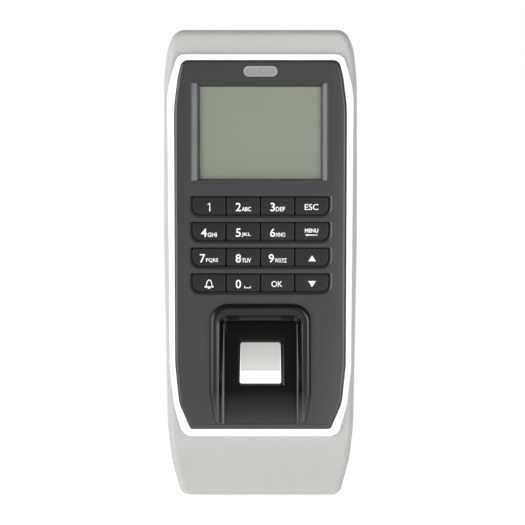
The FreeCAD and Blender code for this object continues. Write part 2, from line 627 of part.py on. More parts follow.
def make_tub(outlines):
    """The well's own walls and floor, behind the fascia."""
    column = layer("tub_column", offset("tub_outline", doc.getObject("well_outline"),
                   "dims.bay_wall"), "dims.bay_bevel_front", "dims.collar_front",
                   "-dims.well_taper", inward=True)
    inside = layer("tub_limit", outlines["collar"], "1", "dims.fascia_front")
    return common("bay_tub", column, above_floor("tub_floor", "-dims.bay_wall"), inside)


def make_collar(outlines):
    """Raised inverted U round the finger bay, a little lower at its feet."""
    block = layer("collar_block", outlines["collar"],
                  "dims.fascia_back - dims.gap", "dims.collar_front - dims.fascia_back + dims.gap")
    slope = tilted(group("collar_slope", [box("collar_slope_box", "60", "120", "20")]),
                   "dims.collar_front", "dims.collar_up_a", COLLAR_DROP)
    sloped = cut("collar_sloped", block, slope)
    doc.recompute()
    size = number("collar_edge")
    eased = doc.addObject("Part::Fillet", "collar_rounded")
    eased.Base = sloped
    eased.Edges = [(n, size, size) for n, edge in enumerate(sloped.Shape.Edges, start=1)
                   if all(-vertex.Y > number("collar_end") - 0.05
                          for vertex in edge.Vertexes)]
    return eased


def make_fascia(outlines):
    """Black front panel: keypad and display openings, bosses and snap hooks."""
    plate = layer("fascia_plate", outlines["fascia"], "dims.fascia_back",
                  "dims.fascia_front - dims.fascia_back")
    rows = [layer("row_hole_%d" % r, row_outline("row_outline_%d" % r, r, "row_above"),
                  "dims.skirt_back", "dims.collar_front") for r in range(len(KEYS))]
    rows += [row_bevel(r) for r in range(len(KEYS))]
    screen = rect_frustum("screen_hole", ("dims.bezel_half", "dims.bezel_top", "dims.bezel_low"),
                          ("dims.view_half", "dims.view_top", "dims.view_low"),
                          "dims.fascia_back", "dims.fascia_front - dims.fascia_back")
    coves = [cove("cove_right", ""), cove("cove_left", "-")]
    slot = pill("pill_slot", "0", "dims.skirt_back", "dims.collar_front")
    rounded = soften("fascia_rounded", plate, number("fascia_front"), "fascia_edge")
    pierced = cut_all("fascia_pierced", rounded, rows + coves + [screen, slot])

    rest = layer("fascia_rest", outlines["fascia"], "dims.rabbet_out",
                 "dims.fascia_back - dims.rabbet_out + 0.2")
    skirt = layer("skirt_outer", offset("skirt_outline", outlines["fascia"],
                  "-dims.opening_inset - dims.gap"), "dims.skirt_back",
                  "dims.fascia_back - dims.skirt_back + 0.2")
    room = layer("skirt_inner", offset("skirt_inner_outline", outlines["fascia"],
                 "-dims.opening_inset - dims.gap - dims.skirt_wall"), "dims.skirt_back - 1",
                 "dims.fascia_back - dims.skirt_back + 2")
    walls = cut("fascia_walls", fuse("fascia_wall_blank", rest, skirt), room)

    bosses = [post("board_boss_%d" % i, "dims.boss_round",
                   "dims.fascia_back + 0.3 - dims.front_board_back - dims.board_thick",
                   across, up, "dims.front_board_back + dims.board_thick")
              for i, (across, up) in enumerate(BOSS_PLACES)]
    hooks = []
    for i, up in enumerate(("dims.snap_top", "dims.snap_mid", "dims.snap_low")):
        for side in ("", "-"):
            tag = "%d%s" % (i, "_left" if side else "")
            stem = "(dims.hook_snap_across + dims.snap_stem / 2)"
            reach = "(dims.hook_snap_across + (dims.snap_stem + dims.snap_reach) / 2)"
            hooks.append(box("snap_stem_" + tag, "dims.snap_stem", "dims.snap_tall",
                             "dims.skirt_back + 0.5 - dims.snap_out", side + stem, up,
                             "dims.snap_out"))
            hooks.append(box("snap_reach_" + tag, "dims.snap_stem + dims.snap_reach",
                             "dims.snap_tall", "dims.snap_front - dims.snap_out",
                             side + reach, up, "dims.snap_out"))

    guide_hole = layer("guide_hole", offset("guide_hole_outline", outlines["collar"],
                       "dims.seam / 2"), "dims.guide_room_back", "dims.collar_front")
    foot_room = box("guide_foot_room", "2 * dims.collar_across_a + 2 * dims.seam",
                    "dims.foot_room_tall", "dims.rabbet_out - dims.guide_room_back", "0",
                    "dims.collar_up_c + dims.foot_room_lift", "dims.guide_room_back")
    pill_room = pill("pill_room", "dims.pill_flange + 0.2", "dims.skirt_back - 1",
                     "dims.fascia_back - dims.skirt_back + 1")
    pill_clear = pill("pill_clear", "0", "dims.skirt_back", "dims.collar_front")
    cutters = [guide_hole, foot_room, pill_room, pill_clear]
    cutters += [post("boss_hole_%d" % i, "dims.board_screw_shank",
                     "dims.board_screw_length + 0.3", across, up, "dims.front_board_back")
                for i, (across, up) in enumerate(BOSS_PLACES)]
    keep("front_fascia", cut_all("front_fascia_cut",
                                 fuse("fascia_blank", pierced, walls, *(bosses + hooks)),
                                 cutters))


def guide_flange_outline():
    """The flange that stops the finger guide behind the fascia, open at its foot."""
    half = number("collar_across_a") + number("guide_flange")
    top = ("dims.collar_up_a + dims.guide_flange", number("collar_up_a") + number("guide_flange"),
           "dims.collar_round_a", number("collar_round_a"))
    foot = ("dims.collar_up_b", number("collar_up_b"),
            "dims.collar_round_c", number("collar_round_c"))
    corners = []
    for sign, side, (up, z, radius, bend) in (("", 1, top), ("", 1, foot),
                                              ("-", -1, foot), ("-", -1, top)):
        corners.append((sign + "(dims.collar_across_a + dims.guide_flange)", up, side * half,
                        z, radius, bend))
    return outline("guide_flange_outline", corners)


def make_finger_guide(outlines):
    """Gloss insert: the collar, the bay's walls and the ramp that carries the reader."""
    bay = make_bay()
    flange = layer("guide_flange", guide_flange_outline(), "dims.guide_flange_back",
                   "dims.fascia_back - dims.gap - dims.guide_flange_back")
    sleeve = box("sleeve_hole", "dims.sleeve_wide + 2 * dims.gap",
                 "dims.sleeve_high + 2 * dims.gap", "20", "0", "0", "-10")
    seat = box("frame_seat", "dims.frame_wide + dims.gap", "dims.frame_high + dims.gap",
               "5", "0", "dims.frame_shift", "dims.frame_proud - dims.frame_thick")
    pilots = [post("ear_pilot_%d" % i, "dims.sensor_screw_shank",
                   "dims.sensor_screw_length", side + "dims.ear_screw", "0",
                   "-dims.bay_wall - dims.ear_thick")
              for i, side in enumerate(("", "-"))]
    floor_holes = tilted(group("bay_floor_holes", [sleeve, seat] + pilots))
    blank = fuse("guide_blank", make_collar(outlines), flange, make_tub(outlines))
    keep("finger_guide", cut_all("finger_guide_cut", blank, bay + [floor_holes]))


def make_display():
    """Clear window, liquid crystal panel, its light guide and the sheet metal frame."""
    window_back = "dims.fascia_back - dims.window_thick"
    keep("display_window", box("window", "dims.window_wide", "dims.window_tall",
                               "dims.window_thick", "0", "dims.screen_up", window_back))
    light_back = "dims.front_board_back + dims.board_thick + dims.gap"
    keep("display_backlight", box("light_guide", "dims.panel_wide", "dims.panel_tall",
                                  "dims.light_thick", "0", "dims.screen_up", light_back))
    keep("display_panel", box("panel", "dims.panel_wide", "dims.panel_tall",
                              "dims.panel_thick", "0", "dims.screen_up",
                              light_back + " + dims.light_thick"))
    outer = box("shield_outer", "dims.shield_wide", "dims.shield_tall", "dims.shield_thick",
                "0", "dims.screen_up", "dims.front_board_back + dims.board_thick")
    inner = box("shield_inner", "dims.panel_wide + 2 * dims.gap",
                "dims.panel_tall + 2 * dims.gap", "dims.shield_thick + 2", "0",
                "dims.screen_up", "dims.front_board_back + dims.board_thick - 1")
    keep("display_frame", cut("display_frame_cut", outer, inner))


def make_indicator():
    """Lens with round ends above the display, and the two lamps behind it."""
    face = pill("lens_face", "-0.05", "dims.fascia_back - 0.2",
                "dims.fascia_front + dims.pill_proud - dims.fascia_back + 0.2")
    foot = pill("lens_foot", "dims.pill_flange", "dims.fascia_back - 0.8", "0.8")
    keep("indicator_lens", fuse("indicator_lens_fused", face, foot))
    leds = [box("led_%d" % i, "dims.led_wide", "dims.led_tall", "dims.led_deep",
                side + "dims.led_apart / 2", "dims.led_up",
                "dims.front_board_back + dims.board_thick") for i, side in enumerate(("", "-"))]
    keep("indicator_leds", group("indicator_leds_group", leds))


def make_front_board():
    """Circuit board behind the fascia, with the mat of silicone domes on it."""
    tall = "(dims.front_board_top - dims.front_board_low)"
    middle = "(dims.front_board_top + dims.front_board_low) / 2"
    board = box("front_board_blank", "2 * dims.front_board_half", tall, "dims.board_thick",
                "0", middle, "dims.front_board_back")
    holes = [post("front_board_hole_%d" % i, "dims.board_screw_shank + dims.gap", "4",
                  across, up, "dims.front_board_back - 1")
             for i, (across, up) in enumerate(BOSS_PLACES)]
    keep("front_board", cut_all("front_board_cut", board, holes))
    screws("front_board_screws", BOSS_PLACES, "dims.board_screw_shank",
           "dims.board_screw_head", "dims.board_screw_head_tall", "dims.board_screw_length",
           "dims.front_board_back")
    web_back = "dims.front_board_back + dims.board_thick"
    parts = [box("mat_web", "2 * dims.mat_half", "dims.mat_top - dims.mat_low",
                 "dims.mat_thick", "0", "(dims.mat_top + dims.mat_low) / 2", web_back)]
    for row in range(len(KEYS)):
        for column in range(len(KEYS[row])):
            dome = doc.addObject("Part::Cone", "dome_%d_%d" % (row, column))
            bind(dome, Radius1="dims.dome_foot", Radius2="dims.dome_head",
                 Height="dims.dome_top - %s - dims.mat_thick / 2"
                 % web_back.replace(" + ", " - ", 1))
            parts.append(place(dome, "(%g) * dims.key_pitch" % (column - 1.5),
                               web_back + " + dims.mat_thick / 2", row_centre(row)[0]))
    keep("key_mat", fuse("key_mat_fused", *parts))


def make_key(row, column):
    """One push key: a cap through the fascia and a wider flange that keeps it in."""
    name = KEYS[row][column]
    up, centre = row_centre(row)
    side = column - 1.5
    across = "(%g) * dims.key_pitch" % side
    x = side * number("key_pitch")
    half_wide = (number("key_pitch") - number("key_gap")) / 2
    half_tall = number("key_tall") / 2
    corners = []
    for right, top in ((1, 1), (1, -1), (-1, -1), (-1, 1)):
        outer = top < 0 and ((column == 0 and right < 0) or (column == 3 and right > 0))
        bend = "key_round" if outer else "key_small_round"
        corners.append(("%s %s (dims.key_pitch - dims.key_gap) / 2"
                        % (across, "+" if right > 0 else "-"),
                        "%s %s dims.key_tall / 2" % (up, "+" if top > 0 else "-"),
                        x + right * half_wide, centre + top * half_tall,
                        "dims." + bend, number(bend)))
    cap = layer(name + "_cap", outline(name + "_outline", corners), "dims.key_flange_back",
                "dims.key_front - dims.key_flange_back")
    cap = soften(name + "_eased", cap, number("key_front"), "key_edge")
    flange = box(name + "_flange", "dims.key_pitch - dims.key_gap", "dims.key_flange_tall",
                 "dims.key_flange_thick", across, up, "dims.key_flange_back")
    keep(name, fuse(name + "_fused", cap, flange))


def make_sensor():
    """Optical fingerprint reader on the sloping floor of the finger bay."""
    half_high = number("glass_high") / 2
    corners = []
    for side, way, cell in ((1, 1, "glass_top_half"), (1, -1, "glass_low_half"),
                            (-1, -1, "glass_low_half"), (-1, 1, "glass_top_half")):
        across, x = term(side, cell)
        corners.append((across, ("" if way > 0 else "-") + "dims.glass_high / 2", x,
                        way * half_high, "dims.glass_round", number("glass_round")))
    glass = outline("glass_outline", corners)
    slab = layer("glass_slab", glass, "dims.glass_proud - dims.glass_thick",
                 "dims.glass_thick")
    keep("sensor_glass", tilted(group("sensor_glass_lean", [slab])))

    rim = box("frame_rim", "dims.frame_wide", "dims.frame_high", "dims.frame_thick", "0",
              "dims.frame_shift", "dims.frame_proud - dims.frame_thick")
    sleeve = box("frame_sleeve", "dims.sleeve_wide", "dims.sleeve_high",
                 "dims.sleeve_deep", "0", "0", "-dims.sleeve_deep")
    hole = layer("frame_hole", offset("frame_hole_outline", glass, "dims.gap"), "-20", "40")
    lip = "dims.frame_lip"
    funnel = rect_frustum("frame_funnel",
                          ("(dims.frame_wide / 2 - %s)" % lip,
                           "(dims.frame_shift + dims.frame_high / 2 - %s)" % lip,
                           "(dims.frame_shift - dims.frame_high / 2 + %s)" % lip),
                          ("(dims.glass_low_half + dims.gap)",
                           "(dims.glass_high / 2 + dims.gap)",
                           "-(dims.glass_high / 2 + dims.gap)"),
                          "dims.frame_proud - dims.funnel_deep", "dims.funnel_deep")
    ring = cut_all("sensor_frame_cut", fuse("frame_blank", rim, sleeve), [hole, funnel])
    keep("sensor_frame", tilted(ring))

    lamp_back = "-dims.sleeve_deep - dims.lamp_deep"
    body = box("lamp_block", "dims.lamp_wide", "dims.lamp_high", "dims.lamp_deep", "0", "0",
               lamp_back)
    ears = box("lamp_ears", "dims.ear_wide", "dims.ear_high", "dims.ear_thick", "0", "0",
               "-dims.bay_wall - dims.ear_thick - dims.gap")
    room = box("lamp_room", "dims.lamp_wide - 2 * dims.lamp_wall",
               "dims.lamp_high - 2 * dims.lamp_wall", "dims.lamp_deep + 2", "0", "0",
               lamp_back + " - 1")
    neck = box("lamp_neck", "dims.sleeve_wide + 2 * dims.gap",
               "dims.sleeve_high + 2 * dims.gap", "dims.sleeve_deep + 5", "0", "0",
               "-dims.sleeve_deep")
    holes = [post("ear_hole_%d" % i, "dims.sensor_screw_shank + dims.gap", "10",
                  side + "dims.ear_screw", "0", "-dims.bay_wall - dims.ear_thick - 5")
             for i, side in enumerate(("", "-"))]
    bridge = [box("ear_wall_%d" % i, "dims.ear_wall", "dims.ear_high",
                  "dims.sleeve_deep - dims.bay_wall - dims.gap + dims.ear_root",
                  side + "(dims.lamp_wide / 2 + dims.ear_shift)", "0",
                  "-dims.sleeve_deep - dims.ear_root")
              for i, side in enumerate(("", "-"))]
    solid = fuse("lamp_blank", body, *([ears] + bridge))
    keep("sensor_body", tilted(cut_all("sensor_body_cut", solid, [room, neck] + holes)))

    board = box("sensor_board_blank", "dims.sensor_board_wide", "dims.sensor_board_high",
                "dims.sensor_board_thick", "0", "0",
                lamp_back + " - dims.sensor_board_thick")
    keep("sensor_board", tilted(group("sensor_board_lean", [board])))
    imager = post("imager", "dims.imager_round", "dims.imager_deep", "0", "0", lamp_back)
    optic = post("optic", "dims.optic_round", "dims.optic_deep", "0", "0",
                 lamp_back + " + dims.imager_deep")
    keep("sensor_camera", tilted(fuse("sensor_camera_fused", imager, optic)))
    lamps = [box("sensor_led_%d" % i, "dims.lamp_led", "dims.lamp_led", "1",
                 x + "dims.lamp_led_apart", z + "dims.lamp_led_apart", lamp_back)
             for i, (x, z) in enumerate((("", ""), ("-", ""), ("", "-"), ("-", "-")))]
    keep("sensor_lamps", tilted(group("sensor_lamps_lean", lamps)))
    screws("sensor_screws", [("dims.ear_screw", "0"), ("-dims.ear_screw", "0")],
           "dims.sensor_screw_shank", "dims.sensor_screw_head",
           "dims.sensor_screw_head_tall", "dims.sensor_screw_length",
           "-dims.bay_wall - dims.ear_thick - dims.gap")
    tilted(subparts[-1])
    down = box("cable_down", "dims.cable_wide", "dims.cable_top - dims.cable_low",
               "dims.cable_thick", "0", "(dims.cable_top + dims.cable_low) / 2",
               "dims.cable_out")
    back = box("cable_back", "dims.cable_wide", "dims.cable_thick",
               "dims.cable_out + dims.cable_thick - dims.cable_end", "0",
               "dims.cable_low + dims.cable_thick / 2", "dims.cable_end")
    keep("sensor_cable", fuse("sensor_cable_fused", down, back))


def soldered(name, sizes):
    wide, tall, deep, across, up, out = ["%g" % size for size in sizes]
    return box(name, wide, tall, deep, across, up, out)


def make_main_board():
    """Main circuit board on the rear cover's posts, and what is soldered to it."""
    tall = "(dims.main_board_top - dims.main_board_low)"
    board = box("main_board_blank", "2 * dims.main_board_half", tall, "dims.board_thick",
                "0", "(dims.main_board_top + dims.main_board_low) / 2",
                "dims.main_board_back")
    holes = [post("main_board_hole_%d" % i, "dims.board_screw_shank + dims.gap", "4",
                  across, up, "dims.main_board_back - 1")
             for i, (across, up) in enumerate(POST_PLACES)]
    keep("main_board", cut_all("main_board_cut", board, holes))
    front = "dims.main_board_back + dims.board_thick"
    keep("processor", soldered("processor_box", PROCESSOR))
    keep("power_relay", soldered("power_relay_box", POWER_RELAY))
    keep("network_jack", cut("network_jack_cut", soldered("jack_box", NETWORK_JACK),
                             soldered("jack_mouth", JACK_MOUTH)))
    for name, rows in (("memory_chips", MEMORY_CHIPS), ("terminal_blocks", TERMINAL_BLOCKS),
                       ("ribbon_sockets", RIBBON_SOCKETS)):
        keep(name, group(name + "_group", [soldered("%s_%d" % (name, i), sizes)
                                           for i, sizes in enumerate(rows)]))
    cans = [post("can_%d" % i, "dims.can_round", "dims.can_deep",
                 "dims.can_across + %d * dims.can_pitch" % i, "dims.can_up", front)
            for i in range(2)]
    keep("capacitors", group("capacitors_group", cans))
    cup = post("cell_cup", "dims.cell_round + dims.cell_wall", "dims.cell_thick + 0.8",
               "dims.cell_across", "dims.cell_up", front)
    well = post("cell_well", "dims.cell_round + dims.gap", "dims.cell_thick + 2",
                "dims.cell_across", "dims.cell_up", front + " + 0.8")
    keep("coin_cell_holder", cut("coin_cell_holder_cut", cup, well))
    keep("coin_cell", post("cell", "dims.cell_round", "dims.cell_thick", "dims.cell_across",
                           "dims.cell_up", front + " + 0.8"))
    drum = post("buzzer_drum", "dims.buzzer_round", "dims.buzzer_deep",
                "dims.buzzer_across", "dims.buzzer_up", front)
    vent = post("buzzer_vent", "1", "2", "dims.buzzer_across", "dims.buzzer_up",
                front + " + dims.buzzer_deep - 1")
    keep("buzzer", cut("buzzer_cut", drum, vent))
    ribbon_back = "dims.main_board_back + dims.board_thick + 2.4"
    keep("display_ribbon", box("ribbon", "dims.ribbon_wide", "dims.cable_thick",
                               "dims.front_board_back - 2 - (%s)" % ribbon_back,
                               "dims.ribbon_across", "dims.ribbon_up", ribbon_back))


def make_tamper_switch():
    """Switch behind the main board whose pin rests against the wall plate."""
    case = box("tamper_case", "dims.tamper_wide", "dims.tamper_wide", "dims.tamper_deep",
               "dims.tamper_across", "dims.tamper_up",
               "dims.main_board_back - dims.tamper_deep")
    bore = post("tamper_bore", "dims.tamper_pin + dims.gap", "dims.tamper_deep - 1",
                "dims.tamper_across", "dims.tamper_up",
                "dims.main_board_back - dims.tamper_deep - 0.5")
    keep("tamper_switch", cut("tamper_switch_cut", case, bore))
    keep("tamper_plunger", post("tamper_pin", "dims.tamper_pin",
                                "dims.tamper_pin_end - dims.plate_thick - dims.gap",
                                "dims.tamper_across", "dims.tamper_up",
                                "dims.plate_thick + dims.gap"))


def make_fixings():
    """The screws that join the two shells, hold the main board and lock the case on."""
    screws("case_screws", CASE_SCREW_PLACES, "dims.case_shank", "dims.case_head",
           "dims.case_head_tall", "dims.case_end - dims.case_seat - 1", "dims.case_seat")
    seat = "dims.main_board_back + dims.board_thick"
    pieces = []
    for i, (across, up) in enumerate(POST_PLACES):
        head = post("board_head_%d" % i, "dims.board_screw_head",
                    "dims.board_screw_head_tall", across, up, seat)
        stem = post("board_stem_%d" % i, "dims.board_screw_shank",
                    "dims.board_screw_length", across, up,
                    seat + " - dims.board_screw_length")
        pieces.append(fuse("board_screw_%d" % i, head, stem))
    keep("main_board_screws", group("main_board_screws_group", pieces))
    low = "dims.house_up_g + dims.cover_inset + 0.2"
    head = place(bind(doc.addObject("Part::Cylinder", "lock_head"),
                      Radius="dims.lock_head_round", Height="dims.lock_head_tall"),
                 "0", "dims.lock_out", low, UPRIGHT)
    stem = place(bind(doc.addObject("Part::Cylinder", "lock_stem"),
                      Radius="dims.lock_round - dims.gap",
                      Height="dims.plate_low + dims.plate_thick + 1 - (%s)" % low),
                 "0", "dims.lock_out", low, UPRIGHT)
    keep("lock_screw", fuse("lock_screw_fused", head, stem))


def check_and_export():
    doc.recompute()
    for thing in doc.Objects:
        if "Invalid" in thing.State or "Error" in thing.State:
            raise RuntimeError("%s (%s) failed: %s" % (thing.Name, thing.Label, thing.State))
    os.makedirs("parts", exist_ok=True)
    for thing in subparts:
        shape = thing.Shape
        if shape.isNull() or not shape.isValid() or not shape.Solids:
            raise RuntimeError("%s has no valid shape" % thing.Label)
        shape.exportStep("parts/%s.step" % thing.Label)
        print("%-20s %2d solids %10.1f mm3" % (thing.Label, len(shape.Solids), shape.Volume))


fill_sheet()
shared = make_outlines()
make_wall_plate()
make_rear_cover(shared)
make_main_housing(shared)
make_gasket(shared)
make_trim_ring(shared)
make_fascia(shared)
make_finger_guide(shared)
make_display()
make_indicator()
make_front_board()
for row_number, row_names in enumerate(KEYS):
    for column_number in range(len(row_names)):
        make_key(row_number, column_number)
make_sensor()
make_main_board()
make_tamper_switch()
make_fixings()
check_and_export()
print(len(subparts), "sub-parts")
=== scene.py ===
import json
import math

import bmesh
import bpy
from mathutils import Matrix, Vector


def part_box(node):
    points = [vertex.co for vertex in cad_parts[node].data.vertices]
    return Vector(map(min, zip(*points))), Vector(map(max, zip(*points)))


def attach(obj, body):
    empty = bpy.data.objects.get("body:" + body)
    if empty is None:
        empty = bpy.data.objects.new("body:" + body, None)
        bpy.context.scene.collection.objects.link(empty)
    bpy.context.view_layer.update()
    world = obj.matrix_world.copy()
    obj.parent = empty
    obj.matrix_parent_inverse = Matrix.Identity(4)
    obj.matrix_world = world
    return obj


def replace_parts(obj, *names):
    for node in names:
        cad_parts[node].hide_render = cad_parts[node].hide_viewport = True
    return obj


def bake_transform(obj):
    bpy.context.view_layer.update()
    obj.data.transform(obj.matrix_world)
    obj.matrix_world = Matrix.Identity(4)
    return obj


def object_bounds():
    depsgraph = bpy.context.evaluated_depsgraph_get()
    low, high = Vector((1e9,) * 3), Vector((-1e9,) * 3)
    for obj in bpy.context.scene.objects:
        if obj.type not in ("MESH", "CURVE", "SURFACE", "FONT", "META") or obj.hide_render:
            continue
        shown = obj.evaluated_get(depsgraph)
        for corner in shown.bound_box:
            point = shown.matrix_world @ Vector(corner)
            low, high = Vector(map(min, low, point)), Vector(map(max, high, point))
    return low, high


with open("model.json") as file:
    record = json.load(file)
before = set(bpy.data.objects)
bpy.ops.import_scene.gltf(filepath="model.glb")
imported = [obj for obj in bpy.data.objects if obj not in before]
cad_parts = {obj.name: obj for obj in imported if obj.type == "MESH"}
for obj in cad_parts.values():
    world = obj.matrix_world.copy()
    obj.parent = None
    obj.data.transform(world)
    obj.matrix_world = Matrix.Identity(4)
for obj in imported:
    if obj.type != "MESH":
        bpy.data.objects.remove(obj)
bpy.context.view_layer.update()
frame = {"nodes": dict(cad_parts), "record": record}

MM = 0.001
FACING_FRONT = Matrix.Rotation(math.radians(90), 4, "X")     # stands flat drawings up, facing -Y
SHARP_ANGLE = 24                 # degrees: edges sharper than this are shaded as edges
WELD = 1e-6                      # metres: points closer than this are one point

# ---------------------------------------------------------------- smooth shading


def smooth_group():
    """Geometry nodes that weld the mesh and shade it smooth, except across sharp edges."""
    group = bpy.data.node_groups.new("smooth_faces", "GeometryNodeTree")
    group.interface.new_socket("Geometry", in_out="INPUT", socket_type="NodeSocketGeometry")
    group.interface.new_socket("Geometry", in_out="OUTPUT", socket_type="NodeSocketGeometry")
    new, link = group.nodes.new, group.links.new
    start, end = new("NodeGroupInput"), new("NodeGroupOutput")
    plain = new("GeometryNodeRemoveAttribute")
    plain.inputs["Name"].default_value = "custom_normal"
    weld = new("GeometryNodeMergeByDistance")
    weld.inputs["Distance"].default_value = WELD
    faces = new("GeometryNodeSetShadeSmooth")
    angle = new("GeometryNodeInputMeshEdgeAngle")
    sharp = new("FunctionNodeCompare")
    sharp.operation = "GREATER_THAN"
    sharp.inputs["B"].default_value = math.radians(SHARP_ANGLE)
    edges = new("GeometryNodeSetShadeSmooth")
    edges.domain = "EDGE"
    edges.inputs["Shade Smooth"].default_value = False
    link(start.outputs[0], plain.inputs["Geometry"])
    link(plain.outputs["Geometry"], weld.inputs["Geometry"])
    link(weld.outputs["Geometry"], faces.inputs["Geometry"])
    link(faces.outputs["Geometry"], edges.inputs["Geometry"])
    link(angle.outputs["Unsigned Angle"], sharp.inputs["A"])
    link(sharp.outputs["Result"], edges.inputs["Selection"])
    link(edges.outputs["Geometry"], end.inputs[0])
    return group


def smooth_nodes():
    group = smooth_group()
    for node in frame["nodes"].values():
        node.modifiers.new("smooth_faces", "NODES").node_group = group


# ---------------------------------------------------------------- materials


def combine(tree, operation, *values):
    """One arithmetic node; its inputs are other nodes' outputs or plain numbers."""
    node = tree.nodes.new("ShaderNodeMath")
    node.operation = operation
    for socket, value in zip(node.inputs, values):
        if hasattr(value, "is_output"):
            tree.links.new(value, socket)
        else:
            socket.default_value = value
    return node.outputs[0]


class Surface:
    """A material built round one Principled shader."""

    def __init__(self, name, colour, roughness, **sockets):
        self.material = bpy.data.materials.new(name)
        self.material.use_nodes = True
        self.tree = self.material.node_tree
        self.shader = self.tree.nodes["Principled BSDF"]
        self.shader.inputs["Base Color"].default_value = (*colour, 1)
        self.shader.inputs["Roughness"].default_value = roughness
        for socket, value in sockets.items():
            self.shader.inputs[socket.replace("_", " ")].default_value = value
        self.colour = colour
        self.place = self.add("ShaderNodeTexCoord").outputs["Object"]

    def add(self, kind, **values):
        node = self.tree.nodes.new(kind)
        for name, value in values.items():
            if hasattr(value, "is_output"):
                self.tree.links.new(value, node.inputs[name.replace("_", " ")])
            elif name in node.inputs or name.replace("_", " ") in node.inputs:
                node.inputs[name.replace("_", " ")].default_value = value
            else:
                setattr(node, name, value)
        return node

    def feed(self, socket, output):
        self.tree.links.new(output, self.shader.inputs[socket])

    def math(self, operation, *values):
        return combine(self.tree, operation, *values)

    def noise(self, size, detail=3.0, stretch=(1, 1, 1)):
        """Noise whose patches are about size across, in millimetres."""
        spread = self.add("ShaderNodeMapping", Vector=self.place,
                          Scale=tuple(1 / (size * MM * s) for s in stretch))
        return self.add("ShaderNodeTexNoise", Vector=spread.outputs[0], Scale=1.0,
                        Detail=detail).outputs["Fac"]

    def vary_colour(self, size, amount):
        """Let the colour wander a little, lighter and darker."""
        ramp = self.add("ShaderNodeMapRange", Value=self.noise(size), From_Min=0.3, From_Max=0.7)
        mix = self.add("ShaderNodeMix", data_type="RGBA")
        self.tree.links.new(ramp.outputs[0], mix.inputs["Factor"])
        low = tuple(c * (1 - amount) for c in self.colour)
        high = tuple(min(1.0, c * (1 + amount)) for c in self.colour)
        mix.inputs[6].default_value = (*low, 1)
        mix.inputs[7].default_value = (*high, 1)
        self.feed("Base Color", mix.outputs[2])
        return self

    def vary_roughness(self, size, low, high):
        ramp = self.add("ShaderNodeMapRange", Value=self.noise(size), From_Min=0.3, From_Max=0.7,
                        To_Min=low, To_Max=high)
        self.feed("Roughness", ramp.outputs[0])
        return self

    def bump(self, size, depth, strength=1.0, stretch=(1, 1, 1)):
        """Raise a fine grain: size across and depth, in millimetres."""
        bump = self.add("ShaderNodeBump", Height=self.noise(size, 2.0, stretch),
                        Distance=depth * MM, Strength=strength)
        self.feed("Normal", bump.outputs["Normal"])
        return self

    def coordinate(self, axis):
        return self.add("ShaderNodeSeparateXYZ", Vector=self.place).outputs[axis]

    def ramp(self, value, stops):
        """A colour ramp; stops are (position, colour)."""
        ramp = self.add("ShaderNodeValToRGB", Fac=value)
        elements = ramp.color_ramp.elements
        while len(elements) < len(stops):
            elements.new(0.5)
        for element, (position, colour) in zip(elements, stops):
            element.position = position
            element.color = (*colour, 1)
        return ramp.outputs["Color"]


def grey(value):
    return (value, value, value)


def moulded(name, colour, rough, grain=0.25, depth=0.004, **sockets):
    """Injection-moulded plastic with a fine spark-eroded grain."""
    return (Surface(name, colour, rough, **sockets)
            .vary_colour(9, 0.02)
            .vary_roughness(6, rough - 0.01, rough + 0.01)
            .bump(grain, depth, 0.5))


def metal(name, colour, rough, stretch=(1, 1, 1), size=0.3, depth=0.003):
    return (Surface(name, colour, rough, Metallic=1.0)
            .vary_colour(5, 0.08)
            .vary_roughness(2, rough - 0.06, rough + 0.08)
            .bump(size, depth, 0.5, stretch))


def display_panel():
    """Switched-off liquid crystal: grey green, a touch greener towards its edges."""
    made = Surface("display_panel", (0.27, 0.305, 0.24), 0.55)
    low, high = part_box("display_panel")
    centre = (low + high) / 2
    edge = made.math("MAXIMUM",
                     made.math("DIVIDE", made.math("ABSOLUTE", made.coordinate("X")), high.x),
                     made.math("DIVIDE", made.math("ABSOLUTE",
                               made.math("SUBTRACT", made.coordinate("Z"), centre.z)),
                               high.z - centre.z))
    made.feed("Base Color", made.ramp(edge, [(0.80, (0.151, 0.169, 0.134)),
                                             (0.95, (0.163, 0.196, 0.144))]))
    return made.bump(6.0, 0.0005, 0.2)


def sensor_glass():
    """Prism with painted glow: emission makes the finger area light grey and the strip below it
    pure white.
    """
    # Painted glow: the emission stands in for the light the prism reflects and lifts it out of
    # the bay's shade.
    made = Surface("sensor_glass", (0.8, 0.8, 0.79), 0.12, Emission_Strength=0.5)
    low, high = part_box("sensor_glass")
    up = made.math("DIVIDE", made.math("SUBTRACT", made.coordinate("Z"), low.z), high.z - low.z)
    side = made.math("DIVIDE", made.math("ABSOLUTE", made.coordinate("X")), high.x)
    # Painted glow: grey over the finger area, pure white across the strip below it.
    painted_glow = made.ramp(up, [(0.30, grey(0.92)), (0.345, (0.48, 0.48, 0.465)),
                          (0.70, (0.41, 0.41, 0.395)), (1.0, (0.35, 0.35, 0.335))])
    # Painted highlight: glowing white lines near the left and right edges of the glass.
    rim = made.ramp(side, [(0.94, grey(0.0)), (0.965, grey(1.0))])
    mix = made.add("ShaderNodeMix", data_type="RGBA")
    made.tree.links.new(rim, mix.inputs["Factor"])
    made.tree.links.new(painted_glow, mix.inputs[6])
    mix.inputs[7].default_value = (0.9, 0.9, 0.89, 1)
    # The painted glow and the painted edge highlights feed both the emission and the base colour.
    made.feed("Emission Color", mix.outputs[2])
    made.feed("Base Color", mix.outputs[2])
    return made.bump(1.5, 0.001, 0.2)


def finger_guide():
    """Polished black, with painted reflection: the base colour is lighter towards the bottom of
    the ramp.
    """
    made = Surface("gloss_black", grey(0.004), 0.18, Specular_IOR_Level=0.36)
    low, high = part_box("finger_guide")
    up = made.math("DIVIDE", made.math("SUBTRACT", made.coordinate("Z"), low.z), high.z - low.z)
    # Painted reflection: lighter base colour over the lowest part of the ramp.
    made.feed("Base Color", made.ramp(up, [(0.02, grey(0.05)), (0.12, grey(0.03)),
                                           (0.27, grey(0.004))]))
    return made.vary_roughness(6, 0.17, 0.19).bump(1.0, 0.0005, 0.5)


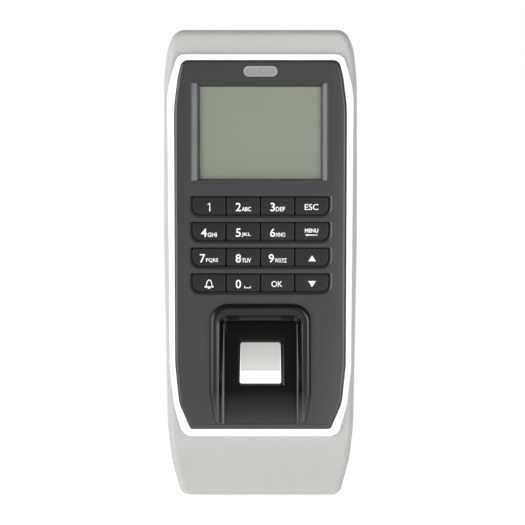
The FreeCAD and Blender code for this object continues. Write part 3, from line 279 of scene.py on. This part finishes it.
def circuit_board():
    """Green solder mask over copper tracks."""
    made = Surface("circuit_board", (0.02, 0.14, 0.06), 0.3)
    cells = made.add("ShaderNodeMapping", Vector=made.place, Rotation=(math.radians(90), 0, 0),
                     Scale=(420, 420, 420))
    tracks = made.add("ShaderNodeTexBrick", Vector=cells.outputs[0], Scale=1.0,
                      Color1=(0.025, 0.17, 0.07, 1), Color2=(0.018, 0.125, 0.055, 1),
                      Mortar=(0.05, 0.27, 0.11, 1), Mortar_Size=0.06)
    made.feed("Base Color", tracks.outputs["Color"])
    return made.bump(0.6, 0.01, 0.4)


def indicator_lens():
    """Frosted translucent lens with a prismatic grain inside."""
    made = Surface("indicator_lens", (0.26, 0.26, 0.255), 0.32, Specular_IOR_Level=0.6)
    cells = made.add("ShaderNodeMapping", Vector=made.place, Scale=(2200, 2200, 2200))
    grain = made.add("ShaderNodeTexVoronoi", Vector=cells.outputs[0], Scale=1.0)
    shade = made.ramp(grain.outputs["Distance"], [(0.1, grey(0.31)), (0.8, grey(0.2))])
    made.feed("Base Color", shade)
    bump = made.add("ShaderNodeBump", Height=grain.outputs["Distance"], Distance=0.06 * MM,
                    Strength=0.6)
    made.feed("Normal", bump.outputs["Normal"])
    return made


def make_surfaces():
    """One surface for each of the record's material slots."""
    window = Surface("display_glass", (0.55, 0.6, 0.5), 0.12, Alpha=0.12).bump(9.0, 0.0005, 0.1)
    return {
        "grey_plastic": moulded("grey_plastic", (0.448, 0.453, 0.436), 0.38, 0.6, 0.002),
        "white_gloss": moulded("white_gloss", (0.92, 0.92, 0.915), 0.16, 1.0, 0.001,
                               Coat_Weight=0.4),
        "black_plastic": moulded("black_plastic", (0.038, 0.038, 0.0375), 0.24, 0.8, 0.001),
        "gloss_black": finger_guide(),
        "key_plastic": moulded("key_plastic", (0.0075, 0.0075, 0.0075), 0.38, 0.6, 0.0015,
                               Specular_IOR_Level=0.31),
        "dark_plastic": moulded("dark_plastic", (0.03, 0.03, 0.031), 0.5, 0.4, 0.008),
        "seal_rubber": moulded("seal_rubber", (0.015, 0.015, 0.015), 0.8, 0.3, 0.02),
        "silicone": moulded("silicone", (0.1, 0.1, 0.1), 0.6, 0.5, 0.004),
        "display_glass": window,
        "display_panel": display_panel(),
        "light_guide": moulded("light_guide", (0.8, 0.8, 0.77), 0.3, 1.0, 0.002),
        "indicator_lens": indicator_lens(),
        "led_resin": moulded("led_resin", (0.85, 0.8, 0.5), 0.2, 1.0, 0.002),
        "circuit_board": circuit_board(),
        "sensor_glass": sensor_glass(),
        "ribbon_plastic": moulded("ribbon_plastic", (0.55, 0.28, 0.06), 0.3, 1.0, 0.002),
        "chip_plastic": moulded("chip_plastic", (0.025, 0.025, 0.025), 0.55, 0.3, 0.006),
        "relay_plastic": moulded("relay_plastic", (0.02, 0.06, 0.25), 0.3, 0.5, 0.003),
        "terminal_plastic": moulded("terminal_plastic", (0.02, 0.25, 0.09), 0.35, 0.5, 0.003),
        "zinc_steel": metal("zinc_steel", (0.62, 0.63, 0.64), 0.38, (1, 1, 12), 0.5, 0.004),
        "tin_steel": metal("tin_steel", (0.7, 0.7, 0.69), 0.3),
        "screw_steel": metal("screw_steel", (0.55, 0.55, 0.56), 0.28),
        "jack_metal": metal("jack_metal", (0.68, 0.68, 0.66), 0.25, (1, 1, 8)),
        "can_aluminium": metal("can_aluminium", (0.75, 0.75, 0.76), 0.35),
        "cell_steel": metal("cell_steel", (0.7, 0.7, 0.7), 0.22),
    }


def paint(thing, surface):
    thing.data.materials.clear()
    thing.data.materials.append(surface.material)


def paint_nodes(surfaces):
    for part in frame["record"]["subparts"]:
        paint(frame["nodes"][part["node"]], surfaces[part["material_slot"]])


# ---------------------------------------------------------------- printed legends

PRINT_THICK = 0.05
LEGEND_LOW = 0.5                 # legends sit this far below the middle of their key
DIGIT_TALL = 3.4
SMALL_TALL = 1.75
WORD_TALL = 2.4
MENU_TALL = 1.6
DIGITS = {"key_1": ("1", ""), "key_2": ("2", "ABC"), "key_3": ("3", "DEF"),
          "key_4": ("4", "GHI"), "key_5": ("5", "JKL"), "key_6": ("6", "MNO"),
          "key_7": ("7", "PQRS"), "key_8": ("8", "TUV"), "key_9": ("9", "WXYZ"),
          "key_0": ("0", "")}


def mesh_of(thing):
    """The finished mesh of a curve or text object, which is then removed."""
    bpy.context.collection.objects.link(thing)
    bpy.context.view_layer.update()
    evaluated = thing.evaluated_get(bpy.context.evaluated_depsgraph_get())
    mesh = bpy.data.meshes.new_from_object(evaluated)
    bpy.data.objects.remove(thing)
    return mesh


def flat_bounds(mesh):
    across = [v.co.x for v in mesh.vertices]
    up = [v.co.y for v in mesh.vertices]
    return min(across), max(across), min(up), max(up)


def word(text, tall, left=0.0, foot=0.0, wide=None, weight=0.03):
    """Flat raised lettering of one height, in millimetres, from its left foot."""
    data = bpy.data.curves.new(text, "FONT")
    data.body = text
    data.size = 1.0
    data.offset = weight
    data.resolution_u = 4
    data.extrude = 0.5
    mesh = mesh_of(bpy.data.objects.new(text, data))
    x0, x1, y0, y1 = flat_bounds(mesh)
    scale = tall / (y1 - y0)
    stretch = wide / (x1 - x0) if wide else scale
    mesh.transform(Matrix.Diagonal((stretch, scale, PRINT_THICK, 1))
                   @ Matrix.Translation((-x0, -y0, 0)))
    mesh.transform(Matrix.Translation((left, foot, 0)))
    return mesh


def stroke(points, wide, closed=False):
    """A printed line of one width with round corners, in millimetres."""
    data = bpy.data.curves.new("stroke", "CURVE")
    data.dimensions = "3D"
    data.bevel_depth = wide / 2
    data.bevel_resolution = 3
    data.use_fill_caps = True
    line = data.splines.new("POLY")
    line.points.add(len(points) - 1)
    for point, (x, y) in zip(line.points, points):
        point.co = (x, y, 0, 1)
    line.use_cyclic_u = closed
    mesh = mesh_of(bpy.data.objects.new("stroke", data))
    mesh.transform(Matrix.Diagonal((1, 1, PRINT_THICK / wide, 1)))
    return mesh


def prism(points, thick=PRINT_THICK):
    """A flat solid shape from its outline, in millimetres."""
    mesh = bpy.data.meshes.new("prism")
    bm = bmesh.new()
    face = bm.faces.new([bm.verts.new((x, y, -thick / 2)) for x, y in points])
    lifted = bmesh.ops.extrude_face_region(bm, geom=[face])["geom"]
    bmesh.ops.translate(bm, vec=(0, 0, thick),
                        verts=[v for v in lifted if isinstance(v, bmesh.types.BMVert)])
    bmesh.ops.recalc_face_normals(bm, faces=bm.faces)
    bm.to_mesh(mesh)
    bm.free()
    return mesh


def arc(x, y, radius, start, end, steps=12):
    """Points along an arc, angles in degrees."""
    turn = [math.radians(start + (end - start) * i / steps) for i in range(steps + 1)]
    return [(x + radius * math.cos(a), y + radius * math.sin(a)) for a in turn]


def centre_meshes(meshes, across, up):
    """Slide a set of meshes together so that their common box is centred."""
    boxes = [flat_bounds(mesh) for mesh in meshes]
    middle = (min(b[0] for b in boxes) + max(b[1] for b in boxes)) / 2
    height = (min(b[2] for b in boxes) + max(b[3] for b in boxes)) / 2
    for mesh in meshes:
        mesh.transform(Matrix.Translation((across - middle, up - height, 0)))
    return meshes


def digit_legend(digit, letters):
    if digit == "1":
        meshes = [stroke([(0, 2.65), (0.8, 3.25), (0.8, 0.0)], 0.5)]
    else:
        meshes = [word(digit, DIGIT_TALL, weight=0.012)]
    if letters:
        left, wide = flat_bounds(meshes[0])[1] + 0.3, 0.3 + 1.13 * len(letters)
        meshes.append(word(letters, SMALL_TALL, left, 0.0, wide, 0.02))
    if digit == "0":
        left, wide, tall = flat_bounds(meshes[0])[1] + 1.4, 2.3, 0.75
        meshes.append(stroke([(left, 0.2 + tall), (left, 0.2), (left + wide, 0.2),
                              (left + wide, 0.2 + tall)], 0.42))
    return centre_meshes(meshes, 0.0, 0.0)


def bell_legend():
    """Outline of a hand bell: knob, dome, flared skirt, foot line and clapper."""
    skirt = ([(1.55, -1.1), (1.1, -0.5)] + arc(0, 0.55, 0.9, 0, 180)
             + [(-1.1, -0.5), (-1.55, -1.1)])
    meshes = [stroke(skirt, 0.4), stroke([(-1.85, -1.2), (1.85, -1.2)], 0.5),
              stroke([(-0.5, -1.7), (0.5, -1.7)], 0.45), stroke([(0, 1.4), (0, 1.85)], 0.5)]
    return centre_meshes(meshes, 0.1, 0.0)


def menu_legend():
    name = word("MENU", MENU_TALL, 0.0, 0.0, 5.4, 0.03)
    line = stroke([(0.6, -0.95), (5.2, -0.95)], 0.42)
    tip = prism([(0.0, -0.95), (1.2, -1.45), (1.2, -0.45)])
    return centre_meshes([name, line, tip], -0.2, 0.1)


def legend_meshes():
    legends = {key: digit_legend(*text) for key, text in DIGITS.items()}
    legends["key_esc"] = centre_meshes([word("ESC", WORD_TALL, 0, 0, 5.5, 0.01)], -0.2, 0.0)
    legends["key_ok"] = centre_meshes([word("OK", WORD_TALL, 0, 0, 4.4, 0.01)], -0.3, 0.0)
    legends["key_menu"] = menu_legend()
    legends["key_bell"] = bell_legend()
    half, tall = 1.55, 2.4
    legends["key_up"] = [prism([(-half, -tall / 2), (half, -tall / 2), (0, tall / 2)])]
    legends["key_down"] = [prism([(-half, tall / 2), (0, -tall / 2), (half, tall / 2)])]
    return legends


def join(name, meshes, surface, body):
    """One piece out of several meshes, welded, riding on a body if one is given."""
    bm = bmesh.new()
    for mesh in meshes:
        bm.from_mesh(mesh)
        bpy.data.meshes.remove(mesh)
    bmesh.ops.remove_doubles(bm, verts=bm.verts, dist=WELD)
    bmesh.ops.recalc_face_normals(bm, faces=bm.faces)
    mesh = bpy.data.meshes.new(name)
    bm.to_mesh(mesh)
    bm.free()
    piece = bpy.data.objects.new(name, mesh)
    bpy.context.collection.objects.link(piece)
    paint(piece, surface)
    if body:
        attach(piece, body)
    return piece


def make_legends(ink):
    for key, meshes in legend_meshes().items():
        low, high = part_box(key)
        middle = Vector(((low.x + high.x) / 2, low.y, (low.z + high.z) / 2 - LEGEND_LOW * MM))
        stand = (Matrix.Translation(middle) @ FACING_FRONT @ Matrix.Scale(MM, 4))
        for mesh in meshes:
            mesh.transform(stand)
        join("legend_" + key, meshes, ink, key)


# ---------------------------------------------------------------- indicator rim


def make_indicator_rim(surface):
    """The raised bead that frames the indicator lens."""
    low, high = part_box("indicator_lens")
    flange = 0.6
    wide, inset = 0.5, 0.35
    radius = (high.z - low.z) / MM / 2 - flange - inset
    straight = (high.x - low.x) / MM / 2 - flange - inset - radius
    ring = (arc(straight, 0, radius, -90, 90) + arc(-straight, 0, radius, 90, 270))
    mesh = stroke(ring, wide, True)
    mesh.transform(Matrix.Diagonal((1, 1, 6, 1)))
    middle = Vector((0, low.y + 0.05 * MM, (low.z + high.z) / 2))
    mesh.transform(Matrix.Translation(middle) @ FACING_FRONT @ Matrix.Scale(MM, 4))
    bead = join("indicator_rim", [mesh], surface, "case")
    for face in bead.data.polygons:
        face.use_smooth = True


# ---------------------------------------------------------------- silicone key mat

MAT_WEB, MAT_ROUND = 0.8, 3.0
DOME = [(0.0, 1.1), (1.5, 1.1), (1.7, 0.9), (2.7, 0.0), (3.6, 0.0), (3.5, 0.25), (2.75, 1.25),
        (2.45, 1.5), (2.3, 1.6), (2.3, 2.0), (2.2, 2.1), (0.0, 2.1)]


def lathe(profile, steps=40):
    """A solid of revolution about Z, from (radius, height) points, in millimetres."""
    bm = bmesh.new()
    verts = [bm.verts.new((radius, 0, height)) for radius, height in profile]
    edges = [bm.edges.new(pair) for pair in zip(verts, verts[1:])]
    bmesh.ops.spin(bm, geom=verts + edges, axis=(0, 0, 1), cent=(0, 0, 0),
                   angle=math.tau, steps=steps)
    bmesh.ops.remove_doubles(bm, verts=bm.verts, dist=1e-5)
    bmesh.ops.recalc_face_normals(bm, faces=bm.faces)
    mesh = bpy.data.meshes.new("lathe")
    bm.to_mesh(mesh)
    bm.free()
    return mesh


def make_key_mat(surface):
    """Web of the silicone mat, and a hollow dome under each key."""
    low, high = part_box("key_mat")
    front = high.y - MAT_WEB * MM
    half = (high.x - low.x) / MM / 2 - MAT_ROUND
    tall = (high.z - low.z) / MM / 2 - MAT_ROUND
    outline = (arc(half, -tall, MAT_ROUND, -90, 0) + arc(half, tall, MAT_ROUND, 0, 90)
               + arc(-half, tall, MAT_ROUND, 90, 180) + arc(-half, -tall, MAT_ROUND, 180, 270))
    web = prism(outline, MAT_WEB)
    middle = Vector((0, (front + high.y) / 2, (low.z + high.z) / 2))
    web.transform(Matrix.Translation(middle) @ FACING_FRONT @ Matrix.Scale(MM, 4))
    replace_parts(join("key_mat_web", [web], surface, "case"), "key_mat")
    for part in frame["record"]["subparts"]:
        key = part["node"]
        if key.startswith("key_") and key != "key_mat":
            low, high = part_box(key)
            foot = Vector(((low.x + high.x) / 2, front, (low.z + high.z) / 2))
            dome = lathe(DOME)
            dome.transform(Matrix.Translation(foot) @ FACING_FRONT @ Matrix.Scale(MM, 4))
            dome.shade_smooth()
            piece = join("dome_" + key, [dome], surface, None)
            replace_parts(piece, "key_mat")
            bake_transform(piece)


# ---------------------------------------------------------------- stage


STUDIO, BACKDROP = 0.27, 1.05    # how bright the room is in front of the object and behind it
OVERHEAD = 0.3                   # how much of that is left straight overhead


def make_floor():
    """White light table, so that the floor melts into the white backdrop."""
    half = 1.6
    mesh = bpy.data.meshes.new("floor")
    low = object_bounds()[0].z - 0.5 * MM
    corners = [(-half, -half), (half, -half), (half, half), (-half, half)]
    mesh.from_pydata([(x, y, low) for x, y in corners], [], [(0, 1, 2, 3)])
    floor = bpy.data.objects.new("floor", mesh)
    bpy.context.collection.objects.link(floor)
    surface = Surface("light_table", (0.9, 0.9, 0.9), 0.8, Emission_Strength=0.6,
                      Emission_Color=(1, 1, 1, 1)).vary_colour(60, 0.01)
    floor.data.materials.append(surface.material)


def make_world():
    """White backdrop behind, brighter to the left; grey studio in front, dim overhead."""
    world = bpy.data.worlds.new("studio")
    bpy.context.scene.world = world
    world.use_nodes = True
    tree = world.node_tree
    tree.nodes.clear()
    new, link = tree.nodes.new, tree.links.new
    seen, lit = new("ShaderNodeBackground"), new("ShaderNodeBackground")
    for background in (seen, lit):
        background.inputs["Color"].default_value = (1, 1, 1, 1)
    seen.inputs["Strength"].default_value = 1.0
    split = new("ShaderNodeSeparateXYZ")
    link(new("ShaderNodeTexCoord").outputs["Generated"], split.inputs[0])
    backdrop = new("ShaderNodeMapRange")
    for socket, value in (("From Min", -0.2), ("From Max", 0.5),
                          ("To Min", STUDIO), ("To Max", BACKDROP)):
        backdrop.inputs[socket].default_value = value
    sided = combine(tree, "MULTIPLY_ADD", split.outputs["X"], -0.7, split.outputs["Y"])
    link(sided, backdrop.inputs["Value"])
    behind = combine(tree, "MAXIMUM", split.outputs["Y"], 0.0)
    overhead = combine(tree, "MULTIPLY_ADD", behind, -1.2, split.outputs["Z"])
    shade = new("ShaderNodeMapRange")
    for socket, value in (("From Min", 0.1), ("From Max", 0.95),
                          ("To Min", 1.0), ("To Max", OVERHEAD)):
        shade.inputs[socket].default_value = value
    link(overhead, shade.inputs["Value"])
    link(combine(tree, "MULTIPLY", backdrop.outputs[0], shade.outputs[0]), lit.inputs["Strength"])
    path, mix = new("ShaderNodeLightPath"), new("ShaderNodeMixShader")
    end = new("ShaderNodeOutputWorld")
    link(path.outputs["Is Camera Ray"], mix.inputs["Fac"])
    link(lit.outputs[0], mix.inputs[1])
    link(seen.outputs[0], mix.inputs[2])
    link(mix.outputs[0], end.inputs["Surface"])


def softbox(name, azimuth, distance, up, wide, tall, radiance):
    """A softbox aimed at the object, azimuth in degrees from the front, right positive."""
    turn = math.radians(azimuth)
    data = bpy.data.lights.new(name, "AREA")
    data.shape = "RECTANGLE"
    data.size, data.size_y = wide, tall
    data.energy = radiance * math.pi * wide * tall
    lamp = bpy.data.objects.new(name, data)
    lamp.location = (distance * math.sin(turn), -distance * math.cos(turn), up)
    lamp.rotation_euler = (-Vector(lamp.location)).to_track_quat("-Z", "Y").to_euler()
    bpy.context.collection.objects.link(lamp)


def make_lights():
    softbox("strip_left", -40, 1.3, 0.05, 0.62, 0.5, 6.2)
    softbox("strip_right", 29, 0.7, 0.02, 0.46, 0.22, 5.6)
    softbox("fill_left", -78, 1.4, 0.2, 0.8, 1.2, 2.6)


def make_camera():
    """Straight at the front through a very long lens."""
    distance, seen_wide, sensor = 3.0, 0.210, 36.0
    data = bpy.data.cameras.new("camera")
    data.sensor_width = sensor
    data.lens = sensor * distance / seen_wide
    data.clip_start, data.clip_end = 0.05, 30
    camera = bpy.data.objects.new("camera", data)
    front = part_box("front_fascia")[0].y
    camera.location = (0.8 * MM, front - distance, -0.2 * MM)
    camera.rotation_euler = (math.radians(90), 0, 0)
    bpy.context.collection.objects.link(camera)
    bpy.context.scene.camera = camera


def main():
    surfaces = make_surfaces()
    make_camera()
    smooth_nodes()
    paint_nodes(surfaces)
    ink = moulded("legend_ink", (0.85, 0.85, 0.84), 0.45, 0.4, 0.002)
    make_legends(ink)
    rim = moulded("lens_rim", (0.36, 0.36, 0.35), 0.25, 0.5, 0.002)
    make_indicator_rim(rim)
    make_key_mat(surfaces["silicone"])
    make_floor()
    make_world()
    make_lights()
    bpy.context.scene.view_settings.view_transform = "Standard"


main()
